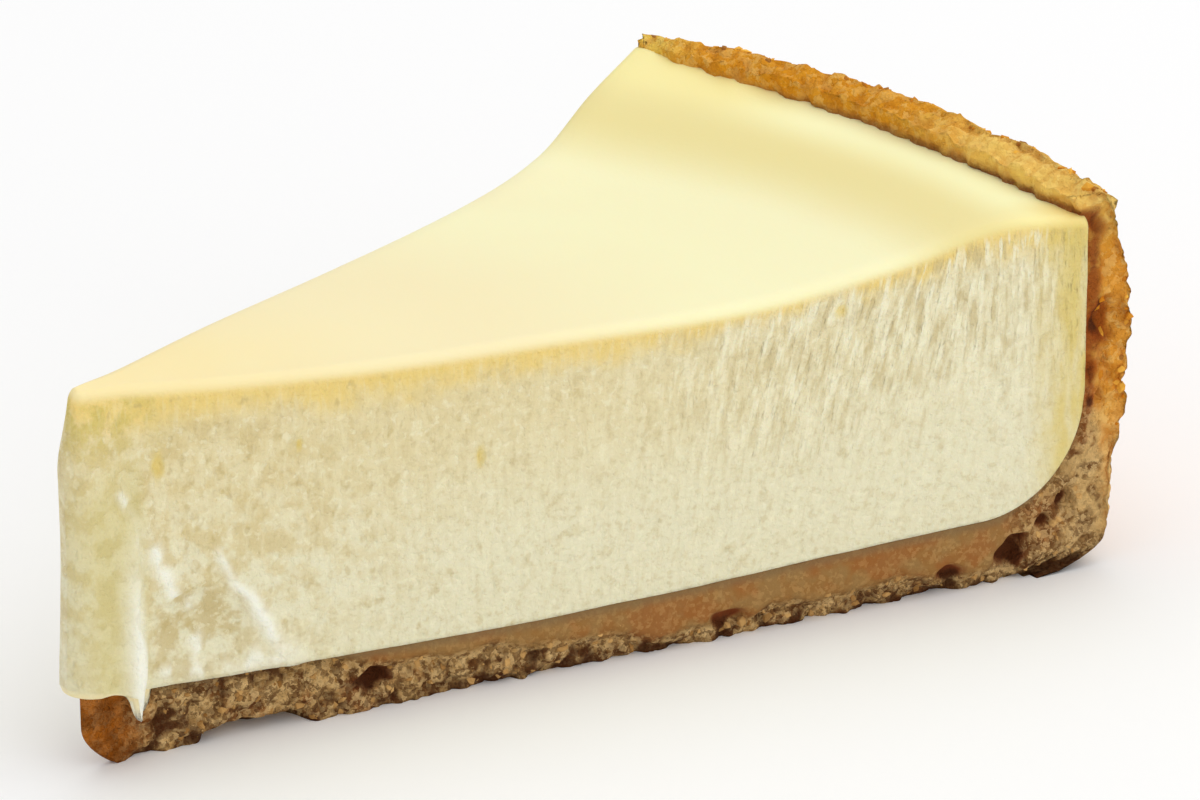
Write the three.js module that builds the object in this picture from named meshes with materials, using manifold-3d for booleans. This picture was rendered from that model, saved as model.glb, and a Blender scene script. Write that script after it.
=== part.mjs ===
// A slice of baked New York cheesecake: the dense filling, and the crumb crust that it stands in,
// pressed over the bottom of the pan and up its wall as one piece.
//
// Lengths are in millimetres. The shapes are drawn with the point where the two knife cuts meet at
// the origin, the slice's bisector along +X and the table at z = 0. "Along" is a distance from that
// point. At the end the group moves them so that the origin is in the middle of the slice's box.
import * as THREE from "three";
import { mergeVertices } from "three/addons/utils/BufferGeometryUtils.js";
import Module from "manifold-3d";

// The pan and the cuts
const PAN_RADIUS = 127; // a 10 inch springform pan
const CUTS_MEET = 10.8; // how far in front of the pan's centre the two cuts meet
const HALF_ANGLE = THREE.MathUtils.degToRad(17.6);
const MIDDLE = 58.8; // from where the cuts meet to the middle of the slice's box

// The crust
const CRUST_TOP = 41.9;
const WALL = 3.5; // thickness of the crust up the pan's wall
const BASE = 7.2; // thickness of the crust under the filling
const BASE_SWELL = 0.5; // the base is that much thicker at its ends and thinner between them
const BASE_LENGTH = 100; // from one of those ends to the other
// Under the tip the base is that much thicker, which fades out between those places
const TIP_RISE = { height: 1.1, along: [2, 6] };
const FILLET_OUT = 12; // the curve from the base up into the wall, measured outwards
const FILLET_UP = 13.3; // and upwards
const WALL_BULGE = 1.7; // the wall's outside swells half way up
const WALL_BULGE_HEIGHT = 24;
const WALL_BULGE_SPAN = 11;
const RIM_LEAN = 0.7; // the wall's outside leans in at the top
const RIM_LEAN_SPAN = 9; // over that height
const RIM_ROUNDING = 1.9; // and its edge there is rounded over
const RIM_FALL = 0.8; // how far the rim's top falls to the filling
const RIM_CROWN = 0.9; // between the cuts the rim stands that much higher
const RIM_CROWN_SPAN = 12; // the crust below it is stretched over that height
const RIM_ROLL = 1.3; // between the cuts the wall is that much thicker on its inside
const RIM_REACH = [9, 2]; // how far inside the wall the rim's own shape begins, and is complete
const FOOT_ROUNDING = 3.2; // the worn corner where the wall meets the table
const FOOT_DEPTH = 1.6; // it is worn that much deeper than it is high
const CORNER_WEAR = 2.0; // at the near cut it is worn that much higher
const CORNER_SHARE = 0.2; // which fades out over that share of the way round the wall
const DRAWN = 15; // over that length by the wall the cuts' grid follows its swelling and wear
const CRUST_TIP = 0.9; // along the bisector, the centre of the crust's own rounding at its tip
const TIP_CHIP = 4.6; // below this height the crust's tip has crumbled away
const TIP_CHIP_DEPTH = 3.6;
const TIP_CHIP_ALONG = [2, 12]; // between these places it fades out
// A piece that has broken off the base's lower edge on the near cut
const BREAK = { along: 19.5, half: 6.5, height: 1.2, depth: 3.0, ends: 2.5, edge: 0.4 };

// The crumb relief
const DOME_LOW = 0.45; // the lowest of the packed domes, as a share of the highest
const DOME_SPREAD = 0.72; // the squared radius of a dome, in cells
const CRUMB = 3.4; // size of the crumb lumps on the outside
const CRUMB_HEIGHT = 1.3;
const CRUMB_SINK = 0.4; // the share of its height that a crumb is sunk into the plain shape
const WANDER = 0.5; // the outside is uneven by that much, with hills that far apart
const WANDER_APART = 13;
const PIT = 3.0; // size of the pits where the knife tore crumbs out
const PIT_DEPTH = 1.5;
const PIT_POWER = 1.5; // more than 1 makes them narrower
const WALL_PITS = 0.6; // the share of that depth on the wall's cuts
const WALL_PITS_FROM = [12, 6]; // how far inside the wall they begin, and are complete
const THIN_TIP = 6; // over that length from the crust's tip the pits come in
const SMOOTH_BAND = 4.4; // on the cuts the base is pressed smooth above this height
const SMOOTH_EDGE = [0.6, 0.8]; // the pits end between these heights under and over it
const STATION = 1.7; // between the stations of the crust's outline
const FOOT_LEVELS = [0, 0.8, 1.8, 2.9, 4, 5.4, 7]; // heights of the outline's rings in the base
const WALL_LEVELS = { from: 8.8, below_rim: 3.6, count: 16 }; // and in the wall
const EDGE_LEVELS = [1, 0.45, 0.12]; // and in the rim's rounding, as shares of it from the top
const TOP_CENTRE = [80, 0]; // the rings of the top shrink towards this place by these shares
const TOP_SHARES = [0.015, 0.04, 0.065, 0.09, 0.13];

// The filling
const TIP_CENTRE = 2.0; // along the bisector, the centre of the tip's rounding
const TOP_EDGE_ROUNDING = 1.2;
const GAP = 0.3; // between the filling and the crust
const RUN_OUT = 12; // how far the filling's room runs out of the crust
// Height of the top along the near cut and along the far cut, as [along, height]: a broad shallow dip
// that climbs to a shoulder against the crust.
const NEAR_TOP = [[0, 40.5], [24, 38.2], [50, 37.1], [76, 36.7], [92, 38.4], [103, 40.4], [113, 39.6]];
const FAR_TOP = [[0, 40.7], [24, 39.3], [50, 37.0], [76, 35.1], [92, 35.6], [103, 39.0], [113, 41.2]];
const RIM_DIP = 0.5; // between the cuts the top meets the crust that much lower

// What the knife dragged along the near cut by the tip, as [along, height]
const COAT = 2.0; // the tip is coated that thick beyond the cuts
const COAT_SPAN = 9; // and the coat thins out over about that length
const COAT_THIN = { share: 0.75, heights: [32, 41] }; // it loses that share between these heights
const COAT_FLARE = 0.7; // it is that much thicker towards its foot
const COAT_FLARE_SPAN = 5;
const COAT_FLARE_HEIGHTS = [7, 26]; // from the full flare to none
const COAT_REACH = 7.8; // where the coat on the near cut breaks off
const COAT_RAGGED = { depth: 0.8, apart: 4 };
const COAT_TOP = 29; // above this it fades out without an edge
const COAT_EDGE = { below: 1.2, above: 8, change: 6 }; // how long its edge is below that and above
const COAT_FAR = [2, 12]; // on the far cut it fades out between these places
const HOLLOW = { at: [13.5, 13], half: [6, 5.4], depth: 0.8, level: 0.3 };
// The tongue of filling that hangs over the crust beside the tip, half its length, depth and height
const TONGUE = { at: [6.4, 9.4], half: [1.8, 0.9, 4.8], segments: [14, 10], clear: 0.4 };
const LIP = 1.2; // above the tongue the coat's edge stands out that much more
const LIP_SPAN = 1.5;
const LIP_HEIGHTS = [12, 28]; // from the full lip to none

const wasm = await Module();
wasm.setup();

const { clamp, lerp, smoothstep } = THREE.MathUtils;

// A repeatable number from 0 to 1 for each cell of a 3-D grid.
function cellNumber(i, j, k, channel) {
  let h = Math.imul(i, 73856093) ^ Math.imul(j, 19349663) ^ Math.imul(k, 83492791);
  h = Math.imul(h ^ Math.imul(channel + 1, 40503), 0x85ebca6b);
  h = Math.imul(h ^ (h >>> 13), 0xc2b2ae35);
  return ((h ^ (h >>> 16)) >>> 0) / 4294967296;
}

// Domes packed at random, 0 between them and up to 1 on the highest, about one to a cell of that size.
function lumps(x, y, z, cell) {
  const [i0, j0, k0] = [x, y, z].map((value) => Math.floor(value / cell));
  let best = 0;
  for (let i = i0 - 1; i <= i0 + 1; i++)
    for (let j = j0 - 1; j <= j0 + 1; j++)
      for (let k = k0 - 1; k <= k0 + 1; k++) {
        const dx = x / cell - i - cellNumber(i, j, k, 0);
        const dy = y / cell - j - cellNumber(i, j, k, 1);
        const dz = z / cell - k - cellNumber(i, j, k, 2);
        const height = DOME_LOW + (1 - DOME_LOW) * cellNumber(i, j, k, 3);
        best = Math.max(best, height * (1 - (dx * dx + dy * dy + dz * dz) / DOME_SPREAD));
      }
  return best;
}

// Smooth unevenness from -1 to 1, with hills about that far apart.
function swell(x, y, z, apart) {
  const corner = [x, y, z].map((value) => Math.floor(value / apart));
  const [fx, fy, fz] = [x, y, z].map((value, axis) => smoothstep(value / apart - corner[axis], 0, 1));
  const at = (i, j, k) => cellNumber(corner[0] + i, corner[1] + j, corner[2] + k, 4);
  const edge = (j, k) => lerp(at(0, j, k), at(1, j, k), fx);
  return 2 * lerp(lerp(edge(0, 0), edge(1, 0), fy), lerp(edge(0, 1), edge(1, 1), fy), fz) - 1;
}

// The height at a distance along a line of [distance, height] points, through which it runs smoothly.
function heightAlong(line, distance) {
  const last = line.length - 1;
  let n = 0;
  while (n < last - 1 && distance > line[n + 1][0]) n++;
  const t = clamp((distance - line[n][0]) / (line[n + 1][0] - line[n][0]), 0, 1);
  const slope = (m) => {
    const [before, after] = [line[Math.max(m - 1, 0)], line[Math.min(m + 1, last)]];
    return (after[1] - before[1]) / (after[0] - before[0]);
  };
  const step = line[n + 1][0] - line[n][0];
  const [start, end] = [line[n][1], line[n + 1][1]];
  return (
    start * (1 + 2 * t) * (1 - t) ** 2 +
    end * t * t * (3 - 2 * t) +
    step * slope(n) * t * (1 - t) ** 2 -
    step * slope(n + 1) * t * t * (1 - t)
  );
}

// How far along a cut, or along a line that far outside it, a circle about the pan's centre is met.
function reach(radius, outside) {
  const across = outside - CUTS_MEET * Math.sin(HALF_ANGLE);
  return Math.sqrt(radius * radius - across * across) - CUTS_MEET * Math.cos(HALF_ANGLE);
}

// The plan position of a point on the near cut (side -1) or the far one (side 1), or outside it.
function byCut(along, side, outside) {
  const [c, s] = [Math.cos(HALF_ANGLE), Math.sin(HALF_ANGLE)];
  return [along * c - outside * s, side * (along * s + outside * c)];
}

function fromPanCentre(x, y) {
  return Math.hypot(x + CUTS_MEET, y);
}

// 1 at the middle of the rim, falling to 0 where the cuts meet it, and 0 well inside the rim.
function betweenCuts(x, y) {
  const [x1, y1] = byCut(reach(PAN_RADIUS, 0), 1, 0);
  const share = Math.atan2(y, x + CUTS_MEET) / Math.atan2(y1, x1 + CUTS_MEET);
  return Math.max(0, 1 - share ** 4) * insideWall(x, y, RIM_REACH);
}

// 0 well inside the wall and 1 by it: it begins and is complete at distances inside the wall.
function insideWall(x, y, [begins, complete]) {
  const inner = PAN_RADIUS - WALL;
  return smoothstep(fromPanCentre(x, y), inner - begins, inner - complete);
}

function baseHeight(x) {
  const rise = TIP_RISE.height * (1 - smoothstep(x, ...TIP_RISE.along));
  return BASE + BASE_SWELL * Math.cos((2 * Math.PI * x) / BASE_LENGTH) + rise;
}

// The boundary between crust and filling: the base, curving up into the wall. grow moves it outwards.
function floorHeight(x, y, grow) {
  const start = PAN_RADIUS - WALL + grow - FILLET_OUT;
  const t = clamp((fromPanCentre(x, y) - start) / FILLET_OUT, 0, 1);
  return baseHeight(x) - grow + FILLET_UP * (1 - Math.sqrt(1 - t * t));
}

function topHeight(x, y) {
  const along = Math.hypot(x, y);
  const share = smoothstep(Math.atan2(y, x), -HALF_ANGLE, HALF_ANGLE);
  const plain = lerp(heightAlong(NEAR_TOP, along), heightAlong(FAR_TOP, along), share);
  return plain - RIM_DIP * betweenCuts(x, y);
}

// A hill of height 1 at 0, which falls off over about that span.
function hill(distance, span) {
  return Math.exp(-((distance / span) ** 2));
}

// How far the filling stands out of a cut, and less than 0 where it is torn in.
function coat(along, z, near) {
  const flare = COAT_FLARE * (1 - smoothstep(z, ...COAT_FLARE_HEIGHTS)) * hill(along, COAT_FLARE_SPAN);
  const thin = 1 - COAT_THIN.share * smoothstep(z, ...COAT_THIN.heights);
  const tip = COAT * hill(along, COAT_SPAN) * thin + flare;
  if (!near) return tip * (1 - smoothstep(along, ...COAT_FAR));
  const ragged = COAT_REACH + COAT_RAGGED.depth * swell(0, 0, z, COAT_RAGGED.apart);
  const above = smoothstep(z, COAT_TOP - COAT_EDGE.change, COAT_TOP + COAT_EDGE.change);
  const edge = lerp(COAT_EDGE.below, COAT_EDGE.above, above);
  const dip = Math.hypot((along - HOLLOW.at[0]) / HOLLOW.half[0], (z - HOLLOW.at[1]) / HOLLOW.half[1]);
  const hollow = HOLLOW.depth * (1 - smoothstep(dip, HOLLOW.level, 1));
  const lip = LIP * hill(along - TONGUE.at[0], LIP_SPAN) * (1 - smoothstep(z, ...LIP_HEIGHTS));
  return (tip + lip) * (1 - smoothstep(along, ragged - edge, ragged)) - hollow;
}

// The top edge of the filling is rounded over: how far it is drawn in at a height.
function drawnIn(z, top) {
  const t = clamp((z - top + TOP_EDGE_ROUNDING) / TOP_EDGE_ROUNDING, 0, 1);
  return TOP_EDGE_ROUNDING * (1 - Math.sqrt(1 - t * t));
}

// The closed surface of a block of lines of grid points. place(u, v, w) gives the point for three of
// the lines' values: u runs away from the tip, v from the near cut to the far one, and w upwards.
function skinOfBlock(us, vs, ws, place) {
  const numbers = new Map();
  const positions = [];
  const triangles = [];
  const vertex = (i, j, k) => {
    const key = `${i},${j},${k}`;
    if (!numbers.has(key)) {
      numbers.set(key, positions.length / 3);
      positions.push(...place(us[i], vs[j], ws[k]));
    }
    return numbers.get(key);
  };
  const face = (na, nb, corner) => {
    for (let a = 0; a < na; a++)
      for (let b = 0; b < nb; b++) {
        const [p, q, r, s] = [corner(a, b), corner(a + 1, b), corner(a + 1, b + 1), corner(a, b + 1)];
        triangles.push(p, q, r, p, r, s);
      }
  };
  const [nu, nv, nw] = [us.length - 1, vs.length - 1, ws.length - 1];
  face(nv, nu, (a, b) => vertex(b, a, 0));
  face(nu, nv, (a, b) => vertex(a, b, nw));
  face(nu, nw, (a, b) => vertex(a, 0, b));
  face(nw, nu, (a, b) => vertex(b, nv, a));
  face(nw, nv, (a, b) => vertex(0, b, a));
  face(nv, nw, (a, b) => vertex(nu, a, b));
  return geometryOf(positions, triangles);
}

function geometryOf(positions, triangles) {
  return new THREE.BufferGeometry()
    .setAttribute("position", new THREE.Float32BufferAttribute(positions, 3))
    .setIndex(triangles);
}

// A wedge between the cuts, from the tip's rounding to a circle about the pan's centre.
// out(along, z, near) is how far its cut faces stand outside the cuts.
function wedge({ us, vs, ws, radius, out, top, floor }) {
  const tangent = TIP_CENTRE * Math.cos(HALF_ANGLE);
  const rounding = TIP_CENTRE * Math.sin(HALF_ANGLE);
  const onCut = (u, side, z) => {
    const outside = out(lerp(tangent, reach(radius, 0), u), z, side < 0);
    return byCut(lerp(tangent, reach(radius, outside), u), side, outside);
  };
  const onTip = (v, z) => {
    const turn = Math.PI - v * (Math.PI / 2 - HALF_ANGLE);
    const share = (v + 1) / 2;
    const push = rounding + lerp(out(tangent, z, true), out(tangent, z, false), share);
    return [TIP_CENTRE + push * Math.cos(turn), push * Math.sin(turn)];
  };
  const onRim = (v, z) => {
    const ends = [onCut(1, -1, z), onCut(1, 1, z)];
    const [from, to] = ends.map(([x, y]) => Math.atan2(y, x + CUTS_MEET));
    const turn = lerp(from, to, (v + 1) / 2);
    const [c, s] = [Math.cos(turn), Math.sin(turn)];
    const rho = radius - RIM_ROLL * betweenCuts(radius * c - CUTS_MEET, radius * s);
    return [rho * c - CUTS_MEET, rho * s];
  };
  // The plan is the patch that fills the four edges.
  const plan = (u, v, z) => {
    const share = (v + 1) / 2;
    const [near, far, tip, rim] = [onCut(u, -1, z), onCut(u, 1, z), onTip(v, z), onRim(v, z)];
    const corners = [onCut(0, -1, z), onCut(0, 1, z), onCut(1, -1, z), onCut(1, 1, z)];
    return [0, 1].map((axis) => {
      const [a, b, c, d] = corners.map((corner) => corner[axis]);
      const sides = lerp(near[axis], far[axis], share) + lerp(tip[axis], rim[axis], u);
      return sides - lerp(lerp(a, b, share), lerp(c, d, share), u);
    });
  };
  return skinOfBlock(us, vs, ws, (u, v, w) => {
    const middle = plan(u, v, (BASE + CRUST_TOP) / 2);
    const z = lerp(floor(...middle), top(...middle), w);
    const [x, y] = plan(u, v, z);
    return [x, y, w === 0 ? floor(x, y) : w === 1 ? top(x, y) : z];
  });
}

// Shares of the way along the slice: those before the fillet, then even turns of the fillet's curve.
function sharesAlong(length, before) {
  const fillet = evenly(0, Math.PI / 2, 6).map((turn) => length - FILLET_OUT * (1 - Math.sin(turn)));
  return [...before.filter((along) => along < length - FILLET_OUT - 1), ...fillet].map(
    (along) => along / length,
  );
}

function evenly(from, to, count) {
  return Array.from({ length: count + 1 }, (_, n) => lerp(from, to, n / count));
}

function fillingGeometry() {
  const radius = PAN_RADIUS - WALL;
  // The grid is close by the tip, where the coat is, and wide where the slice is plain.
  const before = [...evenly(0, 23.75, 19), ...evenly(25, 79, 12), ...evenly(83, 101, 7)];
  return wedge({
    us: sharesAlong(reach(radius, 0), before),
    vs: evenly(-1, 1, 12),
    ws: [...evenly(0, 0.96, 13), 0.985, 1],
    radius,
    out: (along, z, near) => {
      const top = topHeight(...byCut(along, near ? -1 : 1, 0));
      return coat(along, z, near) - drawnIn(z, top);
    },
    top: topHeight,
    floor: (x, y) => floorHeight(x, y, 0),
  });
}

// The room that the filling takes out of the crust, a gap larger and running out of the cuts and the top.
function roomGeometry() {
  const radius = PAN_RADIUS - WALL + GAP;
  return wedge({
    us: sharesAlong(reach(radius, 0), [...evenly(0, 16, 20), ...evenly(25, 90, 6)]),
    vs: evenly(-1, 1, 20),
    ws: [0, 1],
    radius,
    out: () => RUN_OUT,
    top: () => CRUST_TOP + RUN_OUT,
    floor: (x, y) => floorHeight(x, y, GAP),
  });
}

function tongueGeometry() {
  const [along, height] = TONGUE.at;
  return new THREE.SphereGeometry(1, ...TONGUE.segments)
    .rotateX(Math.PI / 2)
    .scale(...TONGUE.half)
    .rotateZ(-HALF_ANGLE)
    .translate(...byCut(along, -1, TONGUE.half[1] + TONGUE.clear), height);
}

// How far the crust stands out of the pan's circle at a height, before its crumbs. wear is from 0 to 1.
function wallSwell(z, wear) {
  const bulge = WALL_BULGE * hill(z - WALL_BULGE_HEIGHT, WALL_BULGE_SPAN);
  const lean = RIM_LEAN * smoothstep(z, CRUST_TOP - RIM_LEAN_SPAN, CRUST_TOP);
  const rim = clamp(1 - (CRUST_TOP - z) / RIM_ROUNDING, 0, 1);
  const foot = FOOT_ROUNDING + CORNER_WEAR * wear;
  const worn = clamp(1 - z / foot, 0, 1);
  const rounded = RIM_ROUNDING * (1 - Math.sqrt(1 - rim * rim));
  return bulge - lean - rounded - FOOT_DEPTH * foot * (1 - Math.sqrt(1 - worn * worn));
}

// The height of the crust's top, which falls to the filling.
function rimHeight(x, y) {
  const between = betweenCuts(x, y);
  const edge = PAN_RADIUS - WALL - RIM_ROLL * between + RIM_ROUNDING;
  const fall = clamp((edge - fromPanCentre(x, y)) / RIM_ROUNDING, 0, 1);
  const plain = CRUST_TOP + RIM_CROWN * between - RIM_FALL * fall * fall;
  return plain + insideWall(x, y, RIM_REACH) * crumbsOut(x, y, CRUST_TOP);
}

function crumbsOut(x, y, z) {
  return CRUMB_HEIGHT * (lumps(x, y, z, CRUMB) - CRUMB_SINK) + WANDER * swell(x, y, z, WANDER_APART);
}

// How deep the crumbs are torn out of a cut face. The upper part of the base is pressed smooth.
function tornIn(x, y, z) {
  const [under, over] = SMOOTH_EDGE;
  const base = 1 - smoothstep(z, SMOOTH_BAND - under, SMOOTH_BAND + over);
  const wall = WALL_PITS * insideWall(x, y, WALL_PITS_FROM);
  const thin = smoothstep(x, CRUST_TIP, CRUST_TIP + THIN_TIP);
  return PIT_DEPTH * thin * Math.max(base, wall) * (1 - lumps(x, y, z, PIT)) ** PIT_POWER;
}

// How far the crust's tip has crumbled away.
function chipped(along, z) {
  const worn = clamp(1 - z / TIP_CHIP, 0, 1) ** 2;
  return TIP_CHIP_DEPTH * worn * (1 - smoothstep(along, ...TIP_CHIP_ALONG));
}

function brokenIn(along, side, z) {
  if (side > 0) return 0;
  const level = 1 - smoothstep(z, BREAK.height - BREAK.edge, BREAK.height + BREAK.edge);
  const away = Math.abs(along - BREAK.along);
  return BREAK.depth * level * (1 - smoothstep(away, BREAK.half - BREAK.ends, BREAK.half));
}

// The stations of the crust's outline in plan, counterclockwise: along the near cut, round the pan's
// circle, back along the far cut and round the tip. at(z) gives a station's position at a height.
function outline(spacing) {
  const tangent = CRUST_TIP * Math.cos(HALF_ANGLE);
  const length = reach(PAN_RADIUS, 0);
  const onCut = (share, side) => (z) => {
    const along = lerp(tangent, length, share);
    const drawn = smoothstep(along, length - DRAWN, length);
    const moved = along + chipped(along, z);
    const place = byCut(moved, side, 0);
    const stretch = drawn * (wallSwell(z, side < 0 ? 1 : 0) + crumbsOut(...place, z));
    return byCut(moved + stretch, side, -tornIn(...place, z) - brokenIn(along, side, z));
  };
  const onWall = (share) => (z) => {
    const [[x0, y0], [x1, y1]] = [byCut(length, -1, 0), byCut(length, 1, 0)];
    const turn = lerp(Math.atan2(y0, x0 + CUTS_MEET), Math.atan2(y1, x1 + CUTS_MEET), share);
    const [c, s] = [Math.cos(turn), Math.sin(turn)];
    const swollen = wallSwell(z, 1 - smoothstep(share, 0, CORNER_SHARE));
    const rho = PAN_RADIUS + swollen + crumbsOut(PAN_RADIUS * c, PAN_RADIUS * s, z);
    return [rho * c - CUTS_MEET, rho * s];
  };
  const onTip = (share) => (z) => {
    const turn = Math.PI + lerp(-1, 1, share) * (Math.PI / 2 - HALF_ANGLE);
    const rounding = CRUST_TIP * Math.sin(HALF_ANGLE);
    return [CRUST_TIP + chipped(0, z) + rounding * Math.cos(turn), rounding * Math.sin(turn)];
  };
  const cuts = evenly(0, 1, Math.round(length / spacing));
  const wall = evenly(0, 1, Math.round((2 * HALF_ANGLE * PAN_RADIUS) / spacing)).slice(1, -1);
  return [
    ...cuts.map((share) => onCut(share, -1)),
    ...wall.map(onWall),
    ...cuts.reverse().map((share) => onCut(share, 1)),
    ...evenly(0, 1, 4).slice(1, -1).map(onTip),
  ];
}

// The crust before the filling's room is taken out: a full wedge with crumbs on its wall and top.
function crustBlockGeometry() {
  const stations = outline(STATION);
  const { from, below_rim, count: levels } = WALL_LEVELS;
  const edges = EDGE_LEVELS.map((share) => CRUST_TOP - share * RIM_ROUNDING);
  const heights = [...FOOT_LEVELS, ...evenly(from, CRUST_TOP - below_rim, levels), ...edges];
  const crown = (z) => RIM_CROWN * smoothstep(z, CRUST_TOP - RIM_CROWN_SPAN, CRUST_TOP);
  const rings = heights.map((z) =>
    stations.map((at) => {
      const [x, y] = at(z);
      return [x, y, z + crown(z) * betweenCuts(x, y)];
    }),
  );
  const edge = rings.at(-1);
  // The top is drawn as smaller and smaller copies of the topmost ring.
  for (const share of TOP_SHARES)
    rings.push(
      edge.map(([x, y]) => {
        const [px, py] = [lerp(x, TOP_CENTRE[0], share), lerp(y, TOP_CENTRE[1], share)];
        return [px, py, rimHeight(px, py)];
      }),
    );
  const count = stations.length;
  const positions = rings.flat(2);
  const triangles = [];
  rings.slice(1).forEach((_, ring) => {
    for (let n = 0; n < count; n++) {
      const [a, b] = [ring * count + n, ring * count + ((n + 1) % count)];
      triangles.push(a, b, b + count, a, b + count, a + count);
    }
  });
  const foot = rings[0].map(([x, y]) => new THREE.Vector2(x, y));
  for (const [a, b, c] of THREE.ShapeUtils.triangulateShape(foot, [])) triangles.push(a, c, b);
  const last = (rings.length - 1) * count;
  positions.push(...TOP_CENTRE, CRUST_TOP);
  for (let n = 0; n < count; n++) triangles.push(last + n, last + ((n + 1) % count), rings.length * count);
  return geometryOf(positions, triangles);
}

// A closed geometry as a solid that can be joined and cut, and back again.
function solidOf(geometry) {
  const merged = geometry.clone();
  merged.deleteAttribute("normal");
  merged.deleteAttribute("uv");
  const { attributes, index } = mergeVertices(merged, 1e-4);
  return new wasm.Manifold(
    new wasm.Mesh({
      numProp: 3,
      vertProperties: new Float32Array(attributes.position.array),
      triVerts: new Uint32Array(index.array),
    }),
  );
}

function meshOf(name, solid, material) {
  const { numProp, vertProperties, triVerts } = solid.getMesh();
  const positions = Array.from(triVerts).flatMap((n) =>
    Array.from(vertProperties.subarray(n * numProp, n * numProp + 3)),
  );
  const geometry = new THREE.BufferGeometry().setAttribute(
    "position",
    new THREE.Float32BufferAttribute(positions, 3),
  );
  geometry.computeVertexNormals();
  const mesh = new THREE.Mesh(geometry, new THREE.MeshStandardMaterial(material));
  mesh.name = name;
  return mesh;
}

const filling = solidOf(fillingGeometry()).add(solidOf(tongueGeometry()));
const crust = solidOf(crustBlockGeometry()).subtract(solidOf(roomGeometry()));

const group = new THREE.Group();
group.add(meshOf("filling", filling, { color: 0xebdfb4, roughness: 0.5, metalness: 0 }));
group.add(meshOf("crumb_crust", crust, { color: 0xa9713a, roughness: 0.9, metalness: 0 }));
group.position.x = -MIDDLE;

export default group;
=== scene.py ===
"""A slice of baked cheesecake in its crumb crust, dressed over the solids of the frame.

Shapes are worked out in millimetres, with the point where the two knife cuts meet at the origin, the
slice's bisector along +X and the table at z = 0. "Along" is a distance from that point. metres() takes
them into the frame of the solids, whose origin is the middle of the slice's box.
"""

import bmesh
import bpy
import numpy as np
from mathutils import Matrix, Vector


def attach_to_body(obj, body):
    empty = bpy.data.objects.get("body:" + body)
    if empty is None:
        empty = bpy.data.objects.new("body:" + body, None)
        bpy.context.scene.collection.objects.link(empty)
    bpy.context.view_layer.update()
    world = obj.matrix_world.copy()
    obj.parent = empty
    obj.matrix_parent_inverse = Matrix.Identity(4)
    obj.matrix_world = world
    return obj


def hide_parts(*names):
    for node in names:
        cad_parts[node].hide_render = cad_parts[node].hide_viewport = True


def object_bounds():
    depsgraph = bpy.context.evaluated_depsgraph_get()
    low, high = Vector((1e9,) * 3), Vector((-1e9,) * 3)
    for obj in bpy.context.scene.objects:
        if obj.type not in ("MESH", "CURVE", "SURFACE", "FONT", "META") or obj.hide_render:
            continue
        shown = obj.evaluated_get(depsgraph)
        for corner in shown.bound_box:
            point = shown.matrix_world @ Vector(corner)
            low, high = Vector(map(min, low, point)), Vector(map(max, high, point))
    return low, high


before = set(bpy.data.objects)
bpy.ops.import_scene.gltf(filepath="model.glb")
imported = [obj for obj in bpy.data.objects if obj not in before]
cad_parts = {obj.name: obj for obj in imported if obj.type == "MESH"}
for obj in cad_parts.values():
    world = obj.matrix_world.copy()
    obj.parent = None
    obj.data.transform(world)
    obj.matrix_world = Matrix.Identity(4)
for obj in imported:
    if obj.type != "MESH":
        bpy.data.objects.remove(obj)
cad_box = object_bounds()

# The pan and the cuts
PAN_RADIUS = 127.0
CUTS_MEET = 10.8  # in front of the pan's centre
HALF_ANGLE = np.radians(17.6)
COS, SIN = np.cos(HALF_ANGLE), np.sin(HALF_ANGLE)
MIDDLE = 58.8  # of the slice's box
BOX_MARGIN = 0.02

# The crust
CRUST_TOP = 41.9
WALL = 3.5
INNER = PAN_RADIUS - WALL
BASE = 7.2
BASE_SWELL = 0.5  # thicker at its ends than half way
BASE_LENGTH = 100
TIP_RISE = 1.1
TIP_RISE_ALONG = (2, 6)
FILLET_OUT = 12.0
FILLET_UP = 13.3
WALL_BULGE = 1.7
WALL_BULGE_HEIGHT = 24.0
WALL_BULGE_SPAN = 11.0
RIM_LEAN = 0.7
RIM_LEAN_SPAN = 9
RIM_ROUNDING = 1.9
RIM_FALL = 0.8  # towards the filling
RIM_CROWN = 0.9  # higher between the cuts
RIM_CROWN_SPAN = 12
RIM_ROLL = 1.3  # thicker between the cuts
RIM_REACH = (9, 2)  # inside the wall, where the rim's shape begins and is complete
RIM_CRUMBS_REACH = (6, 2)
FOOT_ROUNDING = 3.2
FOOT_DEPTH = 1.6
CORNER_WEAR = 2.0  # by the near cut the foot is worn that much higher
CORNER_SHARE = 0.2
DRAWN = 15.0  # over that length by the wall a cut's grid follows its swelling
CRUST_TIP = 0.9
TIP_CHIP = 4.6
TIP_CHIP_DEPTH = 3.6
TIP_CHIP_POWER = 1.8
TIP_CHIP_ALONG = (2, 12)
BREAK = dict(along=19.5, half=6.5, height=1.2, depth=3.0, ends=2.5, edge=0.4)
DOME_LOW = 0.45  # the lowest lump, as a share of the highest
DOME_SPREAD = 0.72
CRUMB = 3.4
CRUMB_HEIGHT = 1.3
CRUMB_SINK = 0.4
WANDER = 0.5
WANDER_APART = 13
GRAINS = [(0.65, 1.5, 0.6), (0.35, 0.85, 0.5)]  # height, size and how far sunk
PIT = 3.0
PIT_DEPTH = 1.5
PIT_POWER = 1.5
PIT_SHARE = 0.8
FRAYED = dict(depth=0.6, height=1.6, size=2.2)  # the lowest edge of the cuts
WALL_PITS = 0.6  # how coarse the wall's cuts are
WALL_PITS_REACH = (12, 6)
TIP_PITS_SPAN = 6
SMOOTH_BAND = 2.6  # where a cut becomes smooth
SMOOTH_RISES = [(1.6, 46, 62), (3.8, 22, 38)]  # how much higher nearer the tip, and where
SMOOTH_EDGE = (1.6, 0.9)
EDGE_CRUMBS = [(0.9, 2.0), (0.45, 1.0)]  # over the filling's edge: height and size
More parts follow.
